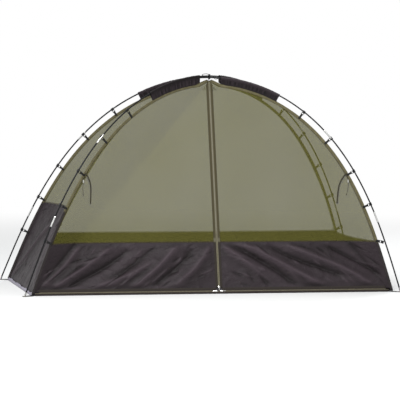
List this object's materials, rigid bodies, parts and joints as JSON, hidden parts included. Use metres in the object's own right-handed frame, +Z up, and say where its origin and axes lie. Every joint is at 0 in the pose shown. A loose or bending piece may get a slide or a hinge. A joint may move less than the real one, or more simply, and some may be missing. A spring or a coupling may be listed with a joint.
{
  "type": "mosquito net tent",
  "caption": "Low dome of fine net over dark nylon lower walls, hung from crossed bent poles by clips and sleeves, with a zipped front that opens as swinging door leaves.",
  "frame": {"origin": "middle of the floor's underside, on the ground", "axes": "+X along the tent towards its right end as seen from the doors, +Y from the doors to the back, +Z up"},
  "size_m": [2.239, 1.0836, 1.2446],
  "materials": {
    "apex_patch": "fine see-through olive net",
    "back_net": "fine see-through olive net",
    "back_wall": "dark nylon cloth, slight sheen",
    "door_left_net": "fine see-through olive net",
    "door_left_wall": "dark nylon cloth, slight sheen",
    "door_right_net": "fine see-through olive net",
    "door_right_wall": "dark nylon cloth, slight sheen",
    "door_tie_left": "black webbing and cord",
    "door_tie_right": "black webbing and cord",
    "floor_sheet": "coated grey-lavender groundsheet",
    "front_left_net": "fine see-through olive net",
    "front_left_wall": "dark nylon cloth, slight sheen",
    "front_pull": "bright die-cast metal",
    "front_right_net": "fine see-through olive net",
    "front_right_wall": "dark nylon cloth, slight sheen",
    "front_slider": "bright die-cast metal",
    "hem_left_pull": "bright die-cast metal",
    "hem_left_slider": "bright die-cast metal",
    "hem_right_pull": "bright die-cast metal",
    "hem_right_slider": "bright die-cast metal",
    "hem_zip_left": "olive-brown woven tape",
    "hem_zip_right": "olive-brown woven tape",
    "hook_back_left_1": "moulded black plastic",
    "hook_back_left_2": "moulded black plastic",
    "hook_back_left_3": "moulded black plastic",
    "hook_back_left_4": "moulded black plastic",
    "hook_back_left_5": "moulded black plastic",
    "hook_back_right_1": "moulded black plastic",
    "hook_back_right_2": "moulded black plastic",
    "hook_back_right_3": "moulded black plastic",
    "hook_back_right_4": "moulded black plastic",
    "hook_back_right_5": "moulded black plastic",
    "hook_front_left_1": "moulded black plastic",
    "hook_front_left_2": "moulded black plastic",
    "hook_front_left_3": "moulded black plastic",
    "hook_front_left_4": "moulded black plastic",
    "hook_front_left_5": "moulded black plastic",
    "hook_front_right_1": "moulded black plastic",
    "hook_front_right_2": "moulded black plastic",
    "hook_front_right_3": "moulded black plastic",
    "hook_front_right_4": "moulded black plastic",
    "hook_front_right_5": "moulded black plastic",
    "left_end_net": "fine see-through olive net",
    "left_end_wall": "dark nylon cloth, slight sheen",
    "pole_a": "black tube with bright metal ferrules and feet",
    "pole_b": "black tube with bright metal ferrules and feet",
    "right_end_net": "fine see-through olive net",
    "right_end_wall": "dark nylon cloth, slight sheen",
    "seam_binding_back_left": "olive-brown woven tape",
    "seam_binding_back_right": "olive-brown woven tape",
    "seam_binding_front_left": "olive-brown woven tape",
    "seam_binding_front_right": "olive-brown woven tape",
    "shock_cord_a": "elastic cord inside the pole",
    "shock_cord_b": "elastic cord inside the pole",
    "sleeve_back_left": "dark nylon cloth, slight sheen",
    "sleeve_back_right": "dark nylon cloth, slight sheen",
    "sleeve_front_left": "dark nylon cloth, slight sheen",
    "sleeve_front_right": "dark nylon cloth, slight sheen",
    "zip_tape_left": "olive-brown woven tape",
    "zip_tape_right": "olive-brown woven tape"
  },
  "bodies": {
    "tent": {"apex_patch": "apex_patch", "back_net": "back_net", "back_wall": "back_wall", "door_tie_left": "door_tie_left", "door_tie_right": "door_tie_right", "floor_sheet": "floor_sheet", "front_left_net": "front_left_net", "front_left_wall": "front_left_wall", "front_right_net": "front_right_net", "front_right_wall": "front_right_wall", "left_end_net": "left_end_net", "left_end_wall": "left_end_wall", "pole_a": "pole_a", "pole_b": "pole_b", "right_end_net": "right_end_net", "right_end_wall": "right_end_wall", "seam_binding_back_left": "seam_binding_back_left", "seam_binding_back_right": "seam_binding_back_right", "seam_binding_front_left": "seam_binding_front_left", "seam_binding_front_right": "seam_binding_front_right", "shock_cord_a": "shock_cord_a", "shock_cord_b": "shock_cord_b", "sleeve_back_left": "sleeve_back_left", "sleeve_back_right": "sleeve_back_right", "sleeve_front_left": "sleeve_front_left", "sleeve_front_right": "sleeve_front_right"},
    "door_left": {"door_left_wall": "door_left_wall", "door_left_net": "door_left_net", "zip_tape_left": "zip_tape_left", "hem_zip_left": "hem_zip_left"},
    "door_right": {"door_right_wall": "door_right_wall", "door_right_net": "door_right_net", "zip_tape_right": "zip_tape_right", "hem_zip_right": "hem_zip_right"},
    "front_slider": {"front_slider": "front_slider"},
    "front_pull": {"front_pull": "front_pull"},
    "hem_left_slider": {"hem_left_slider": "hem_left_slider"},
    "hem_left_pull": {"hem_left_pull": "hem_left_pull"},
    "hem_right_slider": {"hem_right_slider": "hem_right_slider"},
    "hem_right_pull": {"hem_right_pull": "hem_right_pull"},
    "hook_front_left_1": {"hook_front_left_1": "hook_front_left_1"},
    "hook_front_left_2": {"hook_front_left_2": "hook_front_left_2"},
    "hook_front_left_3": {"hook_front_left_3": "hook_front_left_3"},
    "hook_front_left_4": {"hook_front_left_4": "hook_front_left_4"},
    "hook_front_left_5": {"hook_front_left_5": "hook_front_left_5"},
    "hook_front_right_1": {"hook_front_right_1": "hook_front_right_1"},
    "hook_front_right_2": {"hook_front_right_2": "hook_front_right_2"},
    "hook_front_right_3": {"hook_front_right_3": "hook_front_right_3"},
    "hook_front_right_4": {"hook_front_right_4": "hook_front_right_4"},
    "hook_front_right_5": {"hook_front_right_5": "hook_front_right_5"},
    "hook_back_left_1": {"hook_back_left_1": "hook_back_left_1"},
    "hook_back_left_2": {"hook_back_left_2": "hook_back_left_2"},
    "hook_back_left_3": {"hook_back_left_3": "hook_back_left_3"},
    "hook_back_left_4": {"hook_back_left_4": "hook_back_left_4"},
    "hook_back_left_5": {"hook_back_left_5": "hook_back_left_5"},
    "hook_back_right_1": {"hook_back_right_1": "hook_back_right_1"},
    "hook_back_right_2": {"hook_back_right_2": "hook_back_right_2"},
    "hook_back_right_3": {"hook_back_right_3": "hook_back_right_3"},
    "hook_back_right_4": {"hook_back_right_4": "hook_back_right_4"},
    "hook_back_right_5": {"hook_back_right_5": "hook_back_right_5"}
  },
  "joints": [
    {"name": "door_left_swing", "type": "hinge", "parent": "tent", "child": "door_left", "pos_m": [-1.05, -0.5, 0], "axis": [0.6482, 0.2908, 0.7037], "range_deg": [-110, 0]},
    {"name": "door_right_swing", "type": "hinge", "parent": "tent", "child": "door_right", "pos_m": [1.05, -0.5, 0], "axis": [-0.6014, 0.3051, 0.7384], "range_deg": [0, 110]},
    {"name": "front_zip_slide", "type": "slide", "parent": "tent", "child": "front_slider", "axis": [0.0287, 0.3817, 0.9238], "range_m": [0, 1.203]},
    {"name": "front_pull_swing", "type": "hinge", "parent": "front_slider", "child": "front_pull", "pos_m": [0.02815, -0.48934, 0.03888], "axis": [-0.9996, 0.011, 0.0265], "range_deg": [0, 150]},
    {"name": "hem_left_zip_slide", "type": "slide", "parent": "tent", "child": "hem_left_slider", "axis": [-1, 0, 0], "range_m": [0, 1.01]},
    {"name": "hem_left_pull_swing", "type": "hinge", "parent": "hem_left_slider", "child": "hem_left_pull", "pos_m": [0.011, -0.49851, 0.0167], "axis": [0, 0.3819, 0.9242], "range_deg": [0, 150]},
    {"name": "hem_right_zip_slide", "type": "slide", "parent": "tent", "child": "hem_right_slider", "axis": [1, 0, 0], "range_m": [0, 0.96]},
    {"name": "hem_right_pull_swing", "type": "hinge", "parent": "hem_right_slider", "child": "hem_right_pull", "pos_m": [0.043, -0.49851, 0.0167], "axis": [0, -0.3819, -0.9242], "range_deg": [0, 150]},
    {"name": "hook_front_left_1_turn", "type": "hinge", "parent": "tent", "child": "hook_front_left_1", "pos_m": [-0.96283, -0.46615, 0.30146], "axis": [-0.3847, -0.1601, -0.9091], "range_deg": [0, 100]},
    {"name": "hook_front_left_2_turn", "type": "hinge", "parent": "tent", "child": "hook_front_left_2", "pos_m": [-0.87061, -0.42732, 0.50132], "axis": [-0.4448, -0.1896, -0.8753], "range_deg": [0, 100]},
    {"name": "hook_front_left_3_turn", "type": "hinge", "parent": "tent", "child": "hook_front_left_3", "pos_m": [-0.7622, -0.38052, 0.69089], "axis": [-0.5289, -0.2311, -0.8166], "range_deg": [0, 100]},
    {"name": "hook_front_left_4_turn", "type": "hinge", "parent": "tent", "child": "hook_front_left_4", "pos_m": [-0.62104, -0.31808, 0.87894], "axis": [-0.6374, -0.2853, -0.7157], "range_deg": [0, 100]},
    {"name": "hook_front_left_5_turn", "type": "hinge", "parent": "tent", "child": "hook_front_left_5", "pos_m": [-0.45958, -0.24503, 1.02959], "axis": [-0.7436, -0.3395, -0.576], "range_deg": [0, 100]},
    {"name": "hook_front_right_1_turn", "type": "hinge", "parent": "tent", "child": "hook_front_right_1", "pos_m": [0.98282, -0.47619, 0.29146], "axis": [0.2408, -0.0901, 0.9664], "range_deg": [-40, 60]},
    {"name": "hook_front_right_2_turn", "type": "hinge", "parent": "tent", "child": "hook_front_right_2", "pos_m": [0.92292, -0.42681, 0.49868], "axis": [-0.3691, 0.1988, 0.9079], "range_deg": [0, 100]},
    {"name": "hook_front_right_3_turn", "type": "hinge", "parent": "tent", "child": "hook_front_right_3", "pos_m": [0.83462, -0.37998, 0.68651], "axis": [-0.4646, 0.2429, 0.8515], "range_deg": [0, 100]},
    {"name": "hook_front_right_4_turn", "type": "hinge", "parent": "tent", "child": "hook_front_right_4", "pos_m": [0.71384, -0.31773, 0.87269], "axis": [-0.5904, 0.3002, 0.7492], "range_deg": [0, 100]},
    {"name": "hook_front_right_5_turn", "type": "hinge", "parent": "tent", "child": "hook_front_right_5", "pos_m": [0.56933, -0.24513, 1.02185], "axis": [-0.7149, 0.3557, 0.602], "range_deg": [0, 100]},
    {"name": "hook_back_left_1_turn", "type": "hinge", "parent": "tent", "child": "hook_back_left_1", "pos_m": [-0.96212, 0.46576, 0.29906], "axis": [0.3886, -0.162, 0.9071], "range_deg": [0, 100]},
    {"name": "hook_back_left_2_turn", "type": "hinge", "parent": "tent", "child": "hook_back_left_2", "pos_m": [-0.86958, 0.42673, 0.49739], "axis": [0.4482, -0.1912, 0.8732], "range_deg": [0, 100]},
    {"name": "hook_back_left_3_turn", "type": "hinge", "parent": "tent", "child": "hook_back_left_3", "pos_m": [-0.76109, 0.37985, 0.68546], "axis": [0.5315, -0.2324, 0.8146], "range_deg": [0, 100]},
    {"name": "hook_back_left_4_turn", "type": "hinge", "parent": "tent", "child": "hook_back_left_4", "pos_m": [-0.62018, 0.3175, 0.87201], "axis": [0.639, -0.2861, 0.714], "range_deg": [0, 100]},
    {"name": "hook_back_left_5_turn", "type": "hinge", "parent": "tent", "child": "hook_back_left_5", "pos_m": [-0.45935, 0.24471, 1.02147], "axis": [0.7442, -0.3398, 0.575], "range_deg": [0, 100]},
    {"name": "hook_back_right_1_turn", "type": "hinge", "parent": "tent", "child": "hook_back_right_1", "pos_m": [0.99519, 0.4662, 0.3029], "axis": [0.2975, 0.1656, -0.9403], "range_deg": [0, 100]},
    {"name": "hook_back_right_2_turn", "type": "hinge", "parent": "tent", "child": "hook_back_right_2", "pos_m": [0.92437, 0.42739, 0.50262], "axis": [0.3652, 0.1971, -0.9098], "range_deg": [0, 100]},
    {"name": "hook_back_right_3_turn", "type": "hinge", "parent": "tent", "child": "hook_back_right_3", "pos_m": [0.83631, 0.38065, 0.69195], "axis": [0.4617, 0.2415, -0.8535], "range_deg": [0, 100]},
    {"name": "hook_back_right_4_turn", "type": "hinge", "parent": "tent", "child": "hook_back_right_4", "pos_m": [0.71543, 0.31831, 0.87963], "axis": [0.5886, 0.2994, -0.751], "range_deg": [0, 100]},
    {"name": "hook_back_right_5_turn", "type": "hinge", "parent": "tent", "child": "hook_back_right_5", "pos_m": [0.57042, 0.24544, 1.02996], "axis": [0.7141, 0.3554, -0.6031], "range_deg": [0, 100]}
  ]
}
